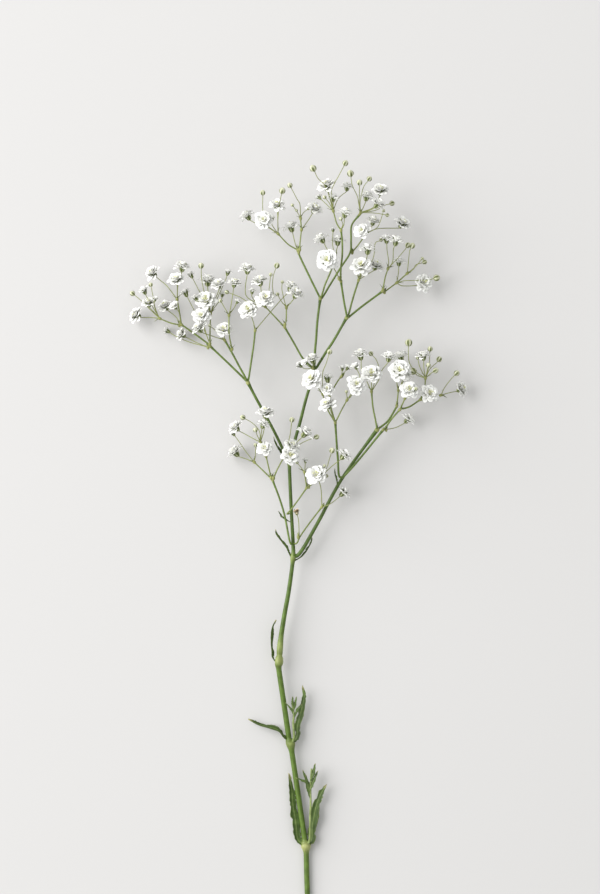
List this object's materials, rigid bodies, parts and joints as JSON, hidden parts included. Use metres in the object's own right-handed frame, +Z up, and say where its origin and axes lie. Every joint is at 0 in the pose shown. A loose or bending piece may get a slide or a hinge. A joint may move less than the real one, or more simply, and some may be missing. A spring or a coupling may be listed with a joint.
{
  "type": "baby's breath sprig",
  "caption": "Cut sprig of baby's breath lying on its side: jointed stem, forked branches, narrow leaves, clusters of small double flowers and buds.",
  "frame": {"origin": "on the table, under the middle of the sprig's outline", "axes": "+Y along the stem from its cut end to the top flowers, +X to the right seen from above, +Z up from the table"},
  "size_m": [0.1356, 0.2947, 0.0295],
  "materials": {
    "stem_green": "smooth waxy green stem, paler on thin stalks",
    "leaf_green": "matte dark green leaf",
    "petal_white": "matte white petals over green sepals"
  },
  "bodies": {
    "root": {"bract_fork_left": "leaf_green", "bract_fork_right": "leaf_green", "bract_left_fork": "leaf_green", "bract_low_left": "leaf_green", "bract_right_fork": "leaf_green", "branch_crown_middle": "stem_green", "branch_crown_right": "stem_green", "branch_eye": "stem_green", "branch_left": "stem_green", "branch_left_outer": "stem_green", "branch_right": "stem_green", "branch_right_inner": "stem_green", "branch_shoulder": "stem_green", "branch_top_left": "stem_green", "branch_top_right": "stem_green", "cluster_crossing_right": "petal_white", "cluster_crossing_up": "petal_white", "cluster_crown_centre": "petal_white", "cluster_crown_eye": "petal_white", "cluster_crown_peak": "petal_white", "cluster_heart": "petal_white", "cluster_heart_top": "petal_white", "cluster_inner_eye": "petal_white", "cluster_inner_left": "petal_white", "cluster_inner_right": "petal_white", "cluster_left_centre": "petal_white", "cluster_left_edge": "petal_white", "cluster_left_far_tip": "petal_white", "cluster_left_far_up": "petal_white", "cluster_left_middle": "petal_white", "cluster_left_under": "petal_white", "cluster_low_left_inner": "petal_white", "cluster_low_left_outer": "petal_white", "cluster_low_middle": "petal_white", "cluster_low_right": "petal_white", "cluster_low_withered": "petal_white", "cluster_right_eye": "petal_white", "cluster_right_far": "petal_white", "cluster_right_inner": "petal_white", "cluster_right_low": "petal_white", "cluster_right_middle": "petal_white", "cluster_right_top": "petal_white", "cluster_right_underside": "petal_white", "cluster_shoulder_out": "petal_white", "cluster_shoulder_up": "petal_white", "cluster_top_left": "petal_white", "cluster_top_left_inner": "petal_white", "cluster_top_right": "petal_white", "cluster_top_right_low": "petal_white", "leaf_lowest_left": "leaf_green", "leaf_lowest_right": "leaf_green", "leaf_second_left": "leaf_green", "leaf_second_right": "leaf_green", "leaf_third_left": "leaf_green", "main_stem": "stem_green", "side_shoot_lower": "leaf_green", "side_shoot_upper": "leaf_green"}
  },
  "joints": []
}
